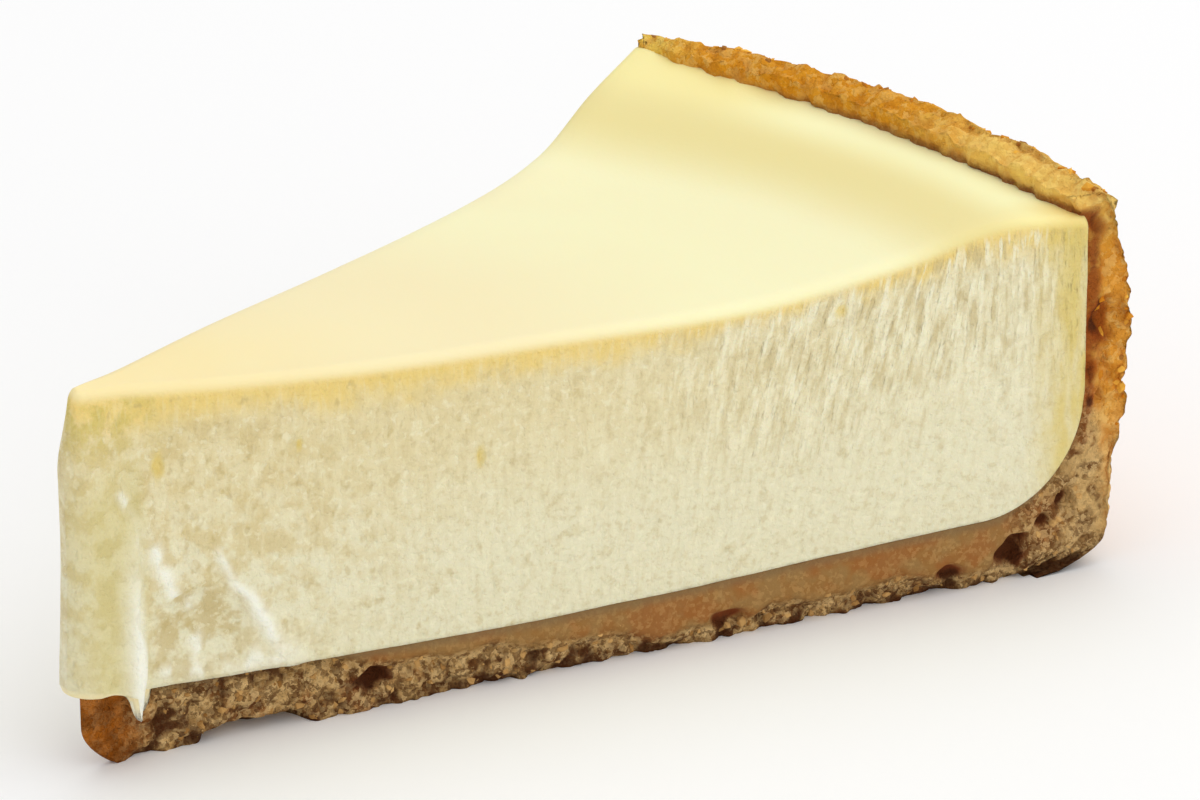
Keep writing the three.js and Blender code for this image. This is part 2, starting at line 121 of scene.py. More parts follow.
EDGE_CRUMBS_HEIGHTS = (36, 39)
EDGE_CRUMBS_LOST = 0.8  # at the far end
EDGE_CRUMBS_FAR = (25, 33)
# Pockets that crumbs left in the near cut: place as [along, height], half width, half height and depth
POCKETS = [
    ((115.4, 27.8), 2.0, 3.6, 1.2),
    ((114.9, 38.0), 1.5, 1.6, 0.5),
    ((114.4, 21.5), 1.1, 3.4, 0.9),
    ((111.2, 8.0), 1.5, 1.4, 1.3),
    ((108.8, 6.0), 1.3, 0.9, 1.0),
    ((105.6, 3.0), 2.4, 1.8, 1.8),
    ((97.5, 2.4), 1.8, 1.1, 1.1),
    ((72.0, 2.6), 2.6, 1.2, 1.0),
    ((33.0, 3.4), 2.4, 1.5, 1.2),
]
POCKET_EDGE = (0.4, 1.1)
POCKET_REACH = (-5, -3)  # out of the near cut, where they begin

# The filling
TIP_CENTRE = 2.0
TOP_EDGE_ROUNDING = 1.2
TOP_EDGE_AT_TIP = 0.6
TOP_EDGE_ALONG = (2, 8)
GAP = 0.06
ROOM_BEYOND = 12.0  # how far the filling's room runs out of the crust
NEAR_TOP = [(0, 40.5), (24, 38.2), (50, 37.1), (76, 36.7), (92, 38.4), (103, 40.4), (113, 39.6)]
FAR_TOP = [(0, 40.7), (24, 39.3), (50, 37.0), (76, 35.1), (92, 35.6), (103, 39.0), (113, 41.2)]
TOP_UNEVEN = 0.1
TOP_UNEVEN_APART = 17
RIM_DIP = 0.5
COAT = 2.0
COAT_SPAN = 9
COAT_THINNED = 0.75
COAT_THIN_HEIGHTS = (32, 41)
COAT_FLARE = 0.7
COAT_FLARE_SPAN = 5
COAT_FLARE_HEIGHTS = (7, 26)
COAT_REACH = 7.8
COAT_RAGGED = 0.8
COAT_TOP = 29.0
COAT_TOP_SPAN = 6
COAT_EDGE = (1.2, 8.0)  # its width below the coat's top and above it
COAT_FAR = (2, 12)
COAT_HEIGHTS = (27, 36)
HOLLOW = dict(at=(13.5, 13.0), half=(6.0, 5.4), depth=0.8, level=0.3)
SCRAPED = 8.0  # the half size of what the knife scraped round the hollow
LIP = 1.2
LIP_AT = 6.4
LIP_SPAN = 1.5
LIP_HEIGHTS = (12, 28)
# The lower edge of the coat, as [along, height]: it hangs over the crust in a tongue.
COAT_FOOT = [(-2.5, 9.9), (1.5, 9.4), (4.3, 8.7), (4.8, 7.8), (5.2, 6.2), (5.8, 5.5), (7.2, 5.4), (7.9, 6.6)]
COAT_FOOT_ROWS = (0, 0.22)
COAT_FOOT_ACROSS = (0.2, 0.9)
# Folds that the knife left by the tip: from and to as [along, height], half width, height and how broken
FOLDS = [
    ((15.2, 21.0), (23.2, 7.8), 0.85, 0.8, 0.2),
    ((5.2, 29.5), (9.0, 22.0), 0.9, 0.5, 0.8),
    ((8.6, 22.4), (12.2, 14.4), 0.9, 0.5, 1.0),
    ((11.4, 15.4), (14.2, 9.0), 0.8, 0.4, 1.0),
    ((7.6, 9.2), (22.0, 8.6), 1.1, 0.4, 0.9),
]
FOLD_WIDTH = (0.5, 1.3)  # at its start and its end
# Open pores on the near cut: place as [along, height], half width, half height and depth
OPEN_PORES = [
    ((44.1, 25.9), 0.5, 1.1, 0.5),
    ((84.6, 34.2), 0.8, 0.7, 0.4),
    ((24.6, 30.6), 0.4, 0.7, 0.3),
    ((9.6, 31.0), 0.6, 1.5, 0.4),
]
RELIEF_BELOW = (0.4, 2.0)  # where the cuts' fine relief begins
RELIEF_ALONG = (-4, 3)
STREAKS_ALONG = (56, 82)
STREAKS_BELOW = (24, 8)
STREAK_WEAK, STREAK_MORE = 0.18, 0.82
STREAK_LEAN = 0.24  # how far the streaks by the outer crust lean out for their height
LEAN_BEGINS, LEAN_ENDS = (50, 80), (92, 108)
LEAN_HEIGHT = 30

# The grids of the fine surfaces
COLUMN = 0.27
ROW = 0.45
EDGE_ROWS = [0.966, 0.976, 0.985, 0.993, 1]
CRUST_STEP = 0.3
TOP_CENTRE = np.array([80.0, 0.0])
TOP_SHARES = np.arange(0.008, 0.15, 0.0085)  # how far its rings are drawn in to that

# Loose crumbs: the ranges of their sizes and of their unevenness
CRUMB_SIZES = (0.5, 1.3)
CRUMB_UNEVEN = (0.6, 1.3)

# The camera, as fitted to the photograph: degrees, a roll in radians, millimetres and pixels
AZIMUTH, ELEVATION, ROLL = -42.85, 22.25, 0.0086
DISTANCE = 740.74
TARGET = (70.76, 0, 19.77)
FOCAL_LENGTH, PHOTO_WIDTH = 7120.4, 1200
SENSOR = 36

# The floor's half width and what the lights look at, in metres
FLOOR_HALF = 6.0
LIT_PLACE = Vector((0, 0, 0.02))

# Colours as they look in the photograph's light, red, green and blue of 255
CREAM = (236, 230, 196)
CREAM_WARM = (232, 217, 168)
CREAM_TAN = (220, 200, 143)
CREAM_LIGHT = (250, 244, 210)
CREAM_DARK = (206, 187, 134)
TOP_SKIN = (252, 246, 196)
TOP_PEACH = (251, 236, 186)
TOP_YELLOW = (250, 230, 170)
# Painted shade: the top darker and yellower in the trough inside the shoulder
TOP_TROUGH_SHADE = (240, 225, 155)
# A painted highlight on the raised shoulder of the top by the rim
TOP_SHOULDER_HIGHLIGHT = (255, 253, 197)
TOP_SHOULDER_END = (251, 237, 163)
BAKED_EDGE = (242, 212, 122)
PORE_YELLOW = (240, 212, 98)
SMEAR = (222, 210, 153)
SMEAR_DARK = (212, 198, 134)
FOLD_WHITE = (255, 255, 240)
SPECK = (196, 174, 112)
BAKED_WALL = (224, 200, 108)
BAKED_TIP = (212, 192, 100)
GOLD = (255, 200, 84)
GOLD_ORANGE = (250, 178, 54)
GOLD_YELLOW = (255, 216, 92)
GOLD_DEEP = (206, 126, 28)
GOLD_PALE = (255, 222, 140)
# Painted light on the rim: its near end and its inner slope
GOLD_PAINTED_LIGHT = (255, 214, 114)
GOLD_RICH = (238, 156, 24)
GOLD_TAN = (246, 204, 134)
WALL_GOLD = (246, 166, 66)
WALL_RED = (172, 92, 32)
# Painted shade in the pockets high on the near cut
POCKET_SHADE_HIGH = (150, 62, 14)
BROWN = (155, 119, 70)
BROWN_WARM = (154, 110, 58)
BROWN_DEEP = (148, 102, 54)
BROWN_RED = (158, 88, 38)
BROWN_DARK = (84, 44, 20)
# Painted shade in the pockets low on the near cut
POCKET_SHADE = (116, 46, 18)
TAUPE = (132, 108, 74)
TIP_ORANGE = (188, 104, 16)
TIP_BROWN = (146, 78, 8)
CRUMB_TAN = (216, 172, 108)
CRUMB_PALE = (242, 204, 142)
FLOOR_WHITE = (252, 252, 252)


def metres(points):
    """Points in millimetres in the slice's own frame, taken to the frame of the solids."""
    return (np.asarray(points, float) - (MIDDLE, 0, 0)) / 1000


def ease(value, low, high):
    """0 up to low and 1 from high, and smooth between them."""
    t = np.clip((value - low) / (high - low), 0, 1)
    return t * t * (3 - 2 * t)


def falls(value, low, high):
    return 1 - ease(value, low, high)


def lerp(a, b, share):
    return a + (b - a) * share


def cell_number(i, j, k, channel):
    """A repeatable number from 0 to 1 for each cell of a 3-D grid."""
    i, j, k = (np.atleast_1d(n).astype(np.int64).astype(np.uint32) for n in (i, j, k))
    h = i * np.uint32(73856093) ^ j * np.uint32(19349663) ^ k * np.uint32(83492791)
    h = (h ^ np.uint32((channel + 1) * 40503)) * np.uint32(0x85EBCA6B)
    h = (h ^ (h >> np.uint32(13))) * np.uint32(0xC2B2AE35)
    return (h ^ (h >> np.uint32(16))) / 4294967296.0


def lumps(x, y, z, cell):
    """Domes packed at random, 0 between them and up to 1 on the highest, about one to a cell."""
    at = [np.asarray(value, float) / cell for value in (x, y, z)]
    first = [np.floor(value) for value in at]
    best = np.zeros(np.broadcast(*at).shape)
    for step in np.ndindex(3, 3, 3):
        cells = [corner + move - 1 for corner, move in zip(first, step)]
        away = sum((at[n] - cells[n] - cell_number(*cells, n)) ** 2 for n in range(3))
        height = DOME_LOW + (1 - DOME_LOW) * cell_number(*cells, 3)
        best = np.maximum(best, height * (1 - away / DOME_SPREAD))
    return best


def swell(x, y, z, apart):
    """Smooth unevenness from -1 to 1, with hills about that far apart."""
    at = [np.asarray(value, float) / apart for value in (x, y, z)]
    first = [np.floor(value) for value in at]
    shares = [ease(value - corner, 0, 1) for value, corner in zip(at, first)]
    total = 0
    for step in np.ndindex(2, 2, 2):
        weight = 1
        for share, move in zip(shares, step):
            weight = weight * (share if move else 1 - share)
        total = total + weight * cell_number(*(c + m for c, m in zip(first, step)), 4)
    return 2 * total - 1


def height_along(line, distance):
    """The height at a distance along a line of [distance, height] points, through which it runs smoothly."""
    at, height = (np.array(column, float) for column in zip(*line))
    slope = np.gradient(height, at)
    slope[1:-1] = (height[2:] - height[:-2]) / (at[2:] - at[:-2])
    n = np.clip(np.searchsorted(at, distance, side="left") - 1, 0, len(at) - 2)
    step = at[n + 1] - at[n]
    t = np.clip((distance - at[n]) / step, 0, 1)
    return (
        height[n] * (1 + 2 * t) * (1 - t) ** 2
        + height[n + 1] * t * t * (3 - 2 * t)
        + step * slope[n] * t * (1 - t) ** 2
        - step * slope[n + 1] * t * t * (1 - t)
    )


def reach(radius, outside):
    """How far along a cut, or along a line that far outside it, a circle about the pan's centre is met."""
    across = outside - CUTS_MEET * SIN
    return np.sqrt(radius * radius - across * across) - CUTS_MEET * COS


def by_cut(along, side, outside):
    """The plan position of a point on the near cut (side -1) or the far one (side 1), or outside it."""
    return np.stack(
        np.broadcast_arrays(along * COS - outside * SIN, side * (along * SIN + outside * COS)), -1
    )


def from_centre(x, y):
    """The distance from the pan's centre."""
    return np.hypot(x + CUTS_MEET, y)


def inside_wall(x, y, begins, complete):
    """0 further inside the wall than where something begins, and 1 from where it is complete."""
    return ease(from_centre(x, y), INNER - begins, INNER - complete)


def between_cuts(x, y):
    """1 at the middle of the rim, falling to 0 where the cuts meet it, and 0 well inside the rim."""
    x1, y1 = by_cut(reach(PAN_RADIUS, 0), 1, 0)
    share = np.arctan2(y, x + CUTS_MEET) / np.arctan2(y1, x1 + CUTS_MEET)
    return np.maximum(0, 1 - share**4) * inside_wall(x, y, *RIM_REACH)


def floor_height(x, y, grow):
    """The boundary between crust and filling: the base, curving up into the wall."""
    start = INNER + grow - FILLET_OUT
    t = np.clip((from_centre(x, y) - start) / FILLET_OUT, 0, 1)
    base = BASE + BASE_SWELL * np.cos(2 * np.pi * x / BASE_LENGTH)
    base = base + TIP_RISE * falls(x, *TIP_RISE_ALONG)
    return base - grow + FILLET_UP * (1 - np.sqrt(1 - t * t))


def top_height(x, y):
    along = np.hypot(x, y)
    share = ease(np.arctan2(y, x), -HALF_ANGLE, HALF_ANGLE)
    plain = lerp(height_along(NEAR_TOP, along), height_along(FAR_TOP, along), share)
    return plain - RIM_DIP * between_cuts(x, y) + TOP_UNEVEN * swell(x, y, 0, TOP_UNEVEN_APART)


def hill(distance, span):
    return np.exp(-((distance / span) ** 2))


def fold(along, z, start, end, half, broken):
    """A ridge along a line on the near cut, 1 on the line and 0 off it, in pieces where it is broken."""
    dx, dz = end[0] - start[0], end[1] - start[1]
    t = np.clip(((along - start[0]) * dx + (z - start[1]) * dz) / (dx * dx + dz * dz), 0, 1)
    wander = 0.5 * half * swell(along, 0, z, 2.2)
    away = np.hypot(along - start[0] - t * dx + wander, z - start[1] - t * dz)
    ragged = 0.85 + 0.3 * swell(along, 7, z, 1.3)
    pieces = 1 - broken * ease(swell(along, 5, z, 1.6), 0.3, -0.3)
    ends = np.sin(np.pi * np.clip(0.2 + 0.65 * t, 0, 1))
    return hill(away, half * lerp(*FOLD_WIDTH, t)) * ragged * pieces * ends


def lip(along, z):
    """The ridge by the coat's edge on the near cut, 1 on its crest."""
    return hill(along - LIP_AT, LIP_SPAN) * falls(z, *LIP_HEIGHTS)


def from_oval(along, z, middle, half, tall):
    """How far a place on a cut is from an oval's middle, 1 on the oval."""
    return np.hypot((along - middle[0]) / half, (z - middle[1]) / tall)


def coat(along, z, near):
    """How far the filling stands out of a cut where the knife smeared it, and less than 0 in the hollow."""
    flare = COAT_FLARE * falls(z, *COAT_FLARE_HEIGHTS) * hill(along, COAT_FLARE_SPAN)
    tip = COAT * hill(along, COAT_SPAN) * (1 - COAT_THINNED * ease(z, *COAT_THIN_HEIGHTS)) + flare
    ragged = COAT_REACH + COAT_RAGGED * swell(0, 0, z, 4)
    edge = lerp(*COAT_EDGE, ease(z, COAT_TOP - COAT_TOP_SPAN, COAT_TOP + COAT_TOP_SPAN))
    away = from_oval(along, z, HOLLOW["at"], *HOLLOW["half"])
    hollow = HOLLOW["depth"] * falls(away, HOLLOW["level"], 1)
    smeared = (tip + LIP * lip(along, z)) * falls(along, ragged - edge, ragged) - hollow
    return np.where(near, smeared, tip * falls(along, *COAT_FAR))


def drawn_in(z, top):
    """The top edge of the filling is rounded over: how far it is drawn in at a height."""
    t = np.clip((z - top + TOP_EDGE_ROUNDING) / TOP_EDGE_ROUNDING, 0, 1)
    return TOP_EDGE_ROUNDING * (1 - np.sqrt(1 - t * t))


def block_skin(us, vs, ws):
    """The surface of a block of lines of grid points: the lines' values at its points, and its quads."""
    number = np.full((len(us), len(vs), len(ws)), -1)
    skin = np.zeros(number.shape, bool)
    skin[[0, -1]] = skin[:, [0, -1]] = skin[:, :, [0, -1]] = True
    number[skin] = np.arange(skin.sum())
    i, j, k = np.nonzero(skin)
    faces = [
        number[:, :, 0].T,
        number[:, :, -1],
        number[:, 0, :],
        number[:, -1, :].T,
        number[0].T,
        number[-1],
    ]
    quads = [np.stack([f[:-1, :-1], f[1:, :-1], f[1:, 1:], f[:-1, 1:]], -1).reshape(-1, 4) for f in faces]
    return us[i], vs[j], ws[k], np.concatenate(quads)


def wedge(u, v, w, radius, out, top, floor):
    """Points of a wedge between the cuts, from the tip's rounding to a circle about the pan's centre."""
    tangent, rounding = TIP_CENTRE * COS, TIP_CENTRE * SIN
    share = ((v + 1) / 2)[:, None]

    def on_cut(u, side, z):
        outside = out(lerp(tangent, reach(radius, 0), u), z, side < 0)
        return by_cut(lerp(tangent, reach(radius, outside), u), side, outside)

    def plan(z):
        turn = np.pi - v * (np.pi / 2 - HALF_ANGLE)
        push = rounding + lerp(out(tangent, z, True), out(tangent, z, False), share[:, 0])
        tip = np.stack([TIP_CENTRE + push * np.cos(turn), push * np.sin(turn)], -1)
        corners = [on_cut(end, side, z) for end in (0.0, 1.0) for side in (-1, 1)]
        start, stop = (np.arctan2(c[:, 1], c[:, 0] + CUTS_MEET) for c in corners[2:])
        around = lerp(start, stop, share[:, 0])
        rho = radius - RIM_ROLL * between_cuts(radius * np.cos(around) - CUTS_MEET, radius * np.sin(around))
        rim = np.stack([rho * np.cos(around) - CUTS_MEET, rho * np.sin(around)], -1)
        sides = lerp(on_cut(u, -1, z), on_cut(u, 1, z), share) + lerp(tip, rim, u[:, None])
        return sides - lerp(lerp(*corners[:2], share), lerp(*corners[2:], share), u[:, None])

    middle = plan(np.full(u.shape, (BASE + CRUST_TOP) / 2))
    z = lerp(floor(*middle.T), top(*middle.T), w)
    # The top surface is drawn in as far as its edge is, wherever it slopes.
    x, y = plan(np.where(w == 1, z + TOP_EDGE_ROUNDING, z)).T
    z = np.where(w == 0, floor(x, y), np.where(w == 1, top(x, y), z))
    return np.stack([x, y, z], -1)


def outward(points, quads):
    """The unit normal at each point of a skin of quads."""
    a, b, c, d = (points[quads[:, n]] for n in range(4))
    face = np.cross(c - a, d - b)
    total = np.zeros(points.shape)
    for n in range(4):
        for axis in range(3):
            total[:, axis] += np.bincount(quads[:, n], face[:, axis], len(points))
    return total / np.maximum(np.linalg.norm(total, axis=1, keepdims=True), 1e-12)


def mesh_object(name, points, faces, numbers=None, smooth=True):
    """A mesh object from points in millimetres, faces, and a number for each point under each name."""
    mesh = bpy.data.meshes.new(name)
    mesh.from_pydata(metres(points).tolist(), [], [list(map(int, face)) for face in faces])
    mesh.update()
    mesh.polygons.foreach_set("use_smooth", [smooth] * len(mesh.polygons))
    attach(mesh, numbers or {})
    return add_object(name, mesh)


def add_object(name, data):
    made = bpy.data.objects.new(name, data)
    bpy.context.collection.objects.link(made)
    return made


def attach(mesh, numbers):
    """Stores a number for each point of a mesh under each name, for its material to read."""
    for name, values in numbers.items():
        layer = mesh.attributes.new(name, "FLOAT", "POINT")
        layer.data.foreach_set("value", np.asarray(values, np.float32))


def within_box(points):
    """Points in millimetres, held inside the box of the solids."""
    low, high = (np.array(corner) * 1000 + (MIDDLE, 0, 0) for corner in cad_box)
    return np.clip(points, low + BOX_MARGIN, high - BOX_MARGIN)


def stand_for(piece, node):
    """Has a piece take the place of a solid."""
    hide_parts(node)
    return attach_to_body(piece, "root")


def points_of(piece):
    """The points of a mesh object in the slice's own frame, in millimetres."""
    flat = np.empty(3 * len(piece.data.vertices))
    piece.data.vertices.foreach_get("co", flat)
    return flat.reshape(-1, 3) * 1000 + (MIDDLE, 0, 0)


def drag_marks(along, z, below, side):
    """The knife's marks on a cut: a coordinate across them, how strong they are, and their relief."""
    outer = ease(along, *STREAKS_ALONG) * ease(below, *STREAKS_BELOW)
    leaning = STREAK_LEAN * ease(along, *LEAN_BEGINS) * falls(along, *LEAN_ENDS)
    across = -side * (along - leaning * (z - LEAN_HEIGHT))
    strength = STREAK_WEAK + STREAK_MORE * outer
    broad = swell(across / 1.2, 9, z / 4.5, 1)
    relief = strength * (0.06 * broad + 0.11 * np.clip(swell(across / 0.7, 0, z / 3, 1) - 0.25, 0, 1))
    relief = relief + 0.14 * swell(across, 0, z, 15) + 0.05 * swell(across, 3, z, 4)
    return across, strength, relief


def open_pores(along, z):
    """The few large pores of the near cut, 1 in their middles: their depth and where they are."""
    depth, there = 0.0, 0.0
    for *oval, deep in OPEN_PORES:
        away = from_oval(along, z, *oval) + 0.35 * swell(along, 3, z, 0.8)
        depth = depth + deep * falls(away, 0.3, 1)
        there = np.maximum(there, falls(away, 0.3, 1.5))
    return depth, there


def build_filling():
    """The filling, on a fine grid, with the knife's marks on its cuts and the coat hanging at the tip."""
    length = reach(INNER, 0)
    us = np.linspace(0, 1, round(length / COLUMN) + 1)
    vs = np.linspace(-1, 1, 31)
    rows = round((CRUST_TOP - BASE) / ROW)
    ws = np.concatenate([np.linspace(0, 0.955, rows), EDGE_ROWS])
    u, v, w, quads = block_skin(us, vs, ws)

    def out(along, z, near):
        top = top_height(*by_cut(along, np.where(near, -1, 1), 0).T)
        rounded = lerp(TOP_EDGE_AT_TIP, 1, ease(along, *TOP_EDGE_ALONG))
        return coat(along, z, near) - drawn_in(z, top) * rounded

    points = wedge(u, v, w, INNER, out, top_height, lambda x, y: floor_height(x, y, 0))
    x, y, z = points.T
    along = x * COS - y * SIN * np.where(y < 0, 1, -1)
    along = np.where(u == 0, x, along)
    below = np.maximum(top_height(x, y) - z, 0)
    to_wall = INNER - RIM_ROLL * between_cuts(x, y) - from_centre(x, y)

    # The coat's foot: on the near cut and round the tip the skin's lowest rows are drawn to its edge.
    foot = np.interp(along, *zip(*COAT_FOOT)) - floor_height(x, y, 0)
    hanging = ((v == -1) | (u == 0)) & (along < COAT_FOOT[-1][0])
    drawn = foot * falls(w, *COAT_FOOT_ROWS) * falls(v, *COAT_FOOT_ACROSS)
    points[:, 2] += np.where(hanging, drawn, 0)
    z = points[:, 2]

    cut = (np.abs(v) == 1) | (u == 0)
    fade = cut * ease(below, *RELIEF_BELOW) * ease(along, *RELIEF_ALONG)
    near = v < 0
    side = np.where(u == 0, v, np.sign(v))
    across, strength, relief = drag_marks(np.where(u == 0, TIP_CENTRE * COS, along), z, below, side)
    deep, there = open_pores(along, z)
    smeared = falls(along, COAT_REACH - COAT_RAGGED, COAT_REACH + COAT_RAGGED)
    smeared = smeared * falls(z, *COAT_HEIGHTS) * near
    hollow = from_oval(along, z, HOLLOW["at"], SCRAPED, SCRAPED)
    scraped = np.maximum(smeared, near * falls(hollow, 0.5, 1.2))
    ridges = [fold(along, z, start, end, half, broken) for start, end, half, _, broken in FOLDS]
    folds = sum(height * ridge for (*_, height, _), ridge in zip(FOLDS, ridges))
    # Where the folds and the lip are whiter: their own white cream, partly painted highlight on the crests
    white = 1.2 * sum(ridges) + 1.1 * lip(along, z) * falls(along, 7.4, 8.2)
    dabs = 0.2 * swell(x, y, z, 3.2) + 0.14 * swell(x, y + 30, z, 1.4)
    relief = relief * (1 - 0.75 * scraped) + scraped * dabs + near * (folds - deep)
    points += (fade * relief)[:, None] * outward(points, quads)

    piece = mesh_object(
        "filling_body",
        within_box(points),
        quads,
        {
            "below_top": below,
            "to_wall": to_wall,
            "on_cut": cut * ease(below, 0.3, 1.4),
            "across": across,
            "drag": fade * strength * (1 - 0.8 * scraped),
            "pored": fade * (1 - smeared),
            "yellow_pore": fade * near * there,
            "smeared": fade * smeared,
            "hollow": near * falls(hollow, 0.3, 1.0),
            "raised": fade * near * np.clip(white, 0, 1),
            "along": along,
        },
    )
    return stand_for(piece, "filling")


def wall_swell(z, wear):
    """How far the crust stands out of the pan's circle at a height, before its crumbs."""
    bulge = WALL_BULGE * hill(z - WALL_BULGE_HEIGHT, WALL_BULGE_SPAN)
    lean = RIM_LEAN * ease(z, CRUST_TOP - RIM_LEAN_SPAN, CRUST_TOP)
    rim = np.clip(1 - (CRUST_TOP - z) / RIM_ROUNDING, 0, 1)
    foot = FOOT_ROUNDING + CORNER_WEAR * wear
    worn = np.clip(1 - z / foot, 0, 1)
    rounded = RIM_ROUNDING * (1 - np.sqrt(1 - rim * rim))
    return bulge - lean - rounded - FOOT_DEPTH * foot * (1 - np.sqrt(1 - worn * worn))


def crumbs_out(x, y, z):
    """The crumbs on the outside that the solid has too."""
    return CRUMB_HEIGHT * (lumps(x, y, z, CRUMB) - CRUMB_SINK) + WANDER * swell(x, y, z, WANDER_APART)


def grains_out(x, y, z):
    """The finer grains between and on the crumbs."""
    return sum(height * (lumps(x, y, z, size) - sunk) for height, size, sunk in GRAINS)


def rim_height(x, y):
    """The height of the crust's top, which falls to the filling."""
    between = between_cuts(x, y)
    edge = INNER - RIM_ROLL * between + RIM_ROUNDING
    fall = np.clip((edge - from_centre(x, y)) / RIM_ROUNDING, 0, 1)
    plain = CRUST_TOP + RIM_CROWN * between - RIM_FALL * fall * fall
    crumbs = crumbs_out(x, y, CRUST_TOP) + grains_out(x, y, CRUST_TOP)
    return plain + inside_wall(x, y, *RIM_CRUMBS_REACH) * crumbs


def coarse_part(x, y, z):
    """Where a cut face of the crust is coarse, 1, and where it is pressed smooth, 0."""
    edge = SMOOTH_BAND
    for rise, start, stop in SMOOTH_RISES:
        edge = edge + rise * falls(x, start, stop)
    edge = edge + 0.9 * swell(x, y, 0, 7) + 0.5 * swell(x, y, z, 2.3)
    base = falls(z, edge - SMOOTH_EDGE[0], edge + SMOOTH_EDGE[1])
    return np.maximum(base, WALL_PITS * inside_wall(x, y, *WALL_PITS_REACH))


def pockets(x, y, z):
    """How deep the pockets are in the near cut."""
    along, depth = np.hypot(x, y), 0.0
    for *oval, deep in POCKETS:
        away = from_oval(along, z, *oval) + 0.45 * swell(x, y, z, 1.7)
        depth = depth + deep * falls(away, *POCKET_EDGE)
    return depth * ease(-y * COS - x * SIN, *POCKET_REACH)


def torn_in(x, y, z):
    """How deep the crumbs are torn out of a cut face."""
    torn = PIT_DEPTH * (1 - lumps(x, y, z, PIT)) ** PIT_POWER
    fine = 0.7 * (1 - lumps(x, y, z, 1.4)) ** PIT_POWER + 0.3 * (1 - lumps(x, y, z, 0.8))
    frayed = FRAYED["depth"] * falls(z, 0, FRAYED["height"]) * (1 - lumps(x, y, 5, FRAYED["size"]))
    thin = ease(x, CRUST_TIP, CRUST_TIP + TIP_PITS_SPAN)
    even = 0.05 * (1 + swell(x, y, z, 1.1)) + 0.08 * (1 + swell(x, y, z, 2.9))
    return thin * coarse_part(x, y, z) * (PIT_SHARE * torn + fine + frayed) + even + pockets(x, y, z)


def chipped(along, z):
    """How far the crust's tip has crumbled away."""
    worn = np.clip(1 - z / TIP_CHIP, 0, 1) ** TIP_CHIP_POWER
    return TIP_CHIP_DEPTH * worn * falls(along, *TIP_CHIP_ALONG)


def broken_in(along, side, z):
    """How deep the broken place in the base's lower edge is, on the near cut."""
    level = falls(z, BREAK["height"] - BREAK["edge"], BREAK["height"] + BREAK["edge"])
    away = np.abs(along - BREAK["along"])
    ends = falls(away, BREAK["half"] - BREAK["ends"], BREAK["half"])
    return (side < 0) * BREAK["depth"] * level * ends


def crust_rings(heights):
    """The crust's outline in plan at each height, counterclockwise from the near side of the tip."""
    z = heights[:, None]
    tangent, rounding = CRUST_TIP * COS, CRUST_TIP * SIN
    length = reach(PAN_RADIUS, 0)

    def on_cut(share, side):
        along = lerp(tangent, length, share) + 0 * z
        moved = along + chipped(along, z)
        x, y = np.moveaxis(by_cut(moved, side, 0), -1, 0)
        out = wall_swell(z, side < 0) + crumbs_out(x, y, z) + grains_out(x, y, z)
        stretch = ease(along, length - DRAWN, length) * out
        return by_cut(moved + stretch, side, -torn_in(x, y, z) - broken_in(along, side, z))

    def on_wall(share):
        (x0, y0), (x1, y1) = by_cut(length, -1, 0), by_cut(length, 1, 0)
        turn = lerp(np.arctan2(y0, x0 + CUTS_MEET), np.arctan2(y1, x1 + CUTS_MEET), share) + 0 * z
        x, y = PAN_RADIUS * np.cos(turn), PAN_RADIUS * np.sin(turn)
        swollen = wall_swell(z, falls(share, 0, CORNER_SHARE))
        rho = PAN_RADIUS + swollen + crumbs_out(x, y, z) + grains_out(x, y, z)
        return np.stack([rho * np.cos(turn) - CUTS_MEET, rho * np.sin(turn)], -1)

    def on_tip(share):
        turn = np.pi + lerp(-1, 1, share) * (np.pi / 2 - HALF_ANGLE) + 0 * z
        return np.stack([CRUST_TIP + chipped(0, z) + rounding * np.cos(turn), rounding * np.sin(turn)], -1)

    cuts = np.linspace(0, 1, round(length / CRUST_STEP) + 1)
    wall = np.linspace(0, 1, round(2 * HALF_ANGLE * PAN_RADIUS / CRUST_STEP) + 1)[1:-1]
    tip = np.linspace(0, 1, 5)[1:-1]
    parts = [on_cut(cuts, -1), on_wall(wall), on_cut(cuts[::-1], 1), on_tip(tip)]
    plan = np.concatenate(parts, axis=1)
    between = between_cuts(*np.moveaxis(plan, -1, 0))
    crown = RIM_CROWN * between * ease(z, CRUST_TOP - RIM_CROWN_SPAN, CRUST_TOP)
    return np.concatenate([plan, (z + crown)[..., None]], axis=-1)


def crust_block():
    """The crust before the filling's room is taken out: points and faces of a closed skin."""
    edge = CRUST_TOP - RIM_ROUNDING
    rounding = edge + RIM_ROUNDING * np.sin(np.linspace(0, np.pi / 2, 6)[1:-1])
    rings = crust_rings(np.concatenate([np.arange(0, edge, CRUST_STEP), [edge], rounding]))
    shrunk = []
    for share in TOP_SHARES:
        x, y = lerp(rings[-1, :, :2], TOP_CENTRE, share).T
        shrunk.append(np.stack([x, y, rim_height(x, y)], -1))
    rings = np.concatenate([rings, shrunk])
    count = rings.shape[1]
    number = np.arange(rings.shape[0] * count).reshape(rings.shape[:2])
    after = np.roll(number, -1, axis=1)
    quads = np.stack([number[:-1], after[:-1], after[1:], number[1:]], -1).reshape(-1, 4)
    last = rings.shape[0] * count
    fan = [(a, b, last) for a, b in zip(number[-1], after[-1])]
    points = np.concatenate([rings.reshape(-1, 3), [[*TOP_CENTRE, CRUST_TOP]]])
    return within_box(points), [*quads, *fan, number[0][::-1]]


